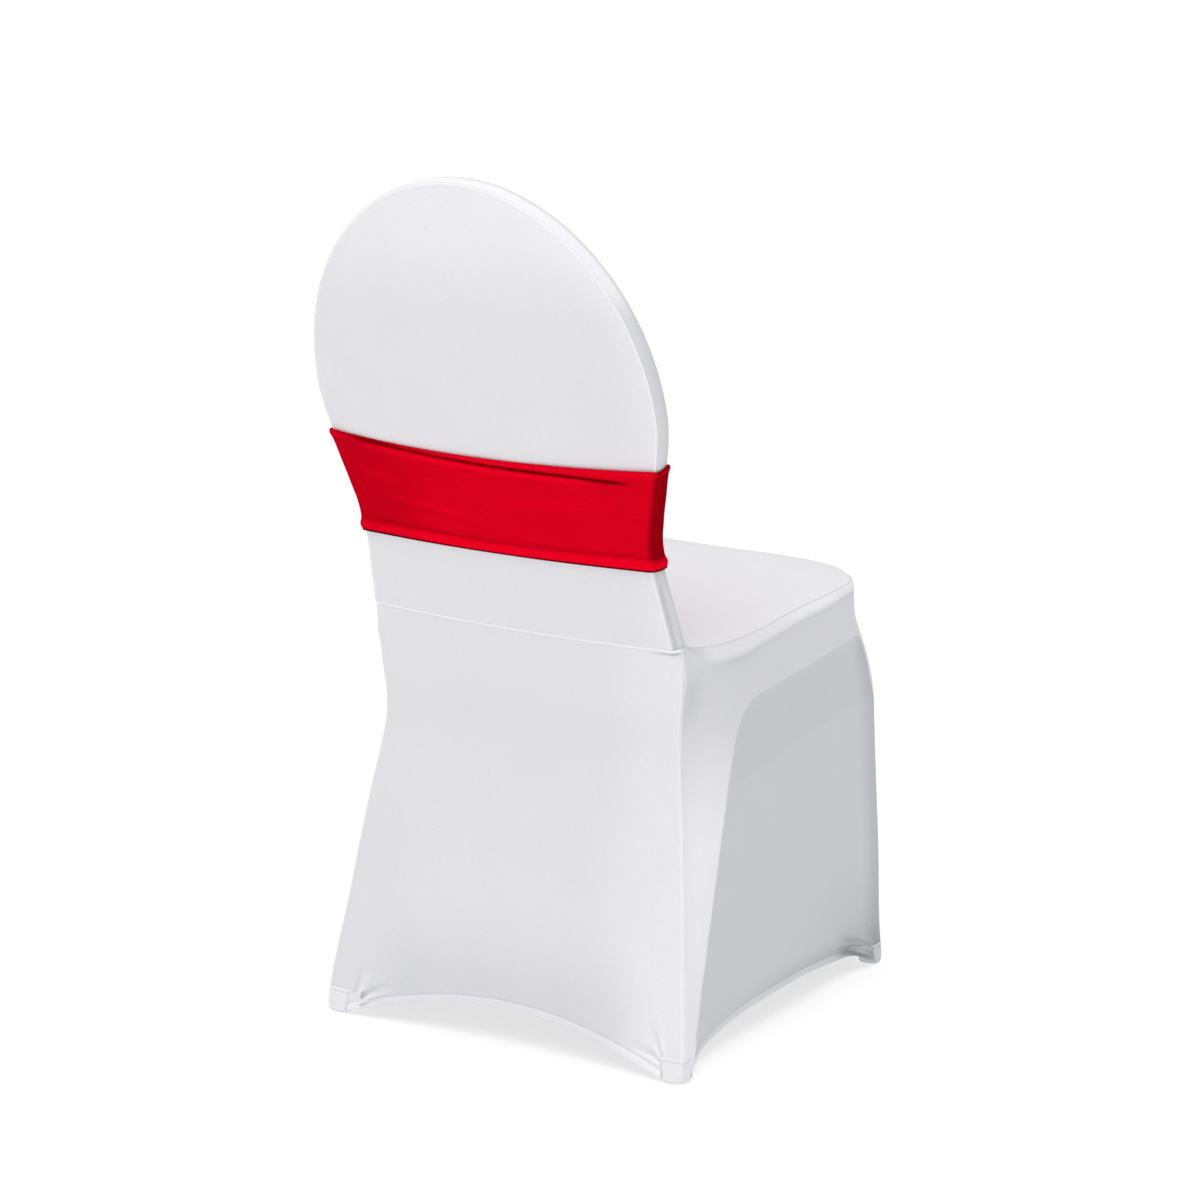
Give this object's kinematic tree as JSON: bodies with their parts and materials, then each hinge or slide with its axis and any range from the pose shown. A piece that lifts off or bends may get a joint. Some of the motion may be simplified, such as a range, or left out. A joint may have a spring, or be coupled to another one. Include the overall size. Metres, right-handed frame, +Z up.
{
  "type": "chair cover with sash",
  "caption": "Fitted stretch cover for a round-backed banquet chair: hood, seat and skirt drawn to a pocket at each foot, with a plain band round the back.",
  "frame": {"origin": "on the floor, under the middle of the cover", "axes": "+Z up; -Y is the sitter's front, +Y the back of the chair; +X is the sitter's left; the two sides match across x = 0"},
  "size_m": [0.4418, 0.5508, 0.9337],
  "materials": {
    "white_cloth": "matt stretch knit",
    "red_cloth": "matt stretch knit, faint sheen"
  },
  "bodies": {
    "root": {"back_upper": "white_cloth", "gusset": "white_cloth", "inside_back": "white_cloth", "seat_top": "white_cloth", "back_skirt": "white_cloth", "front_skirt": "white_cloth", "side_skirt_left": "white_cloth", "side_skirt_right": "white_cloth", "foot_pocket_rear_left": "white_cloth", "foot_pocket_rear_right": "white_cloth", "foot_pocket_front_left": "white_cloth", "foot_pocket_front_right": "white_cloth", "sash": "red_cloth"}
  },
  "joints": []
}
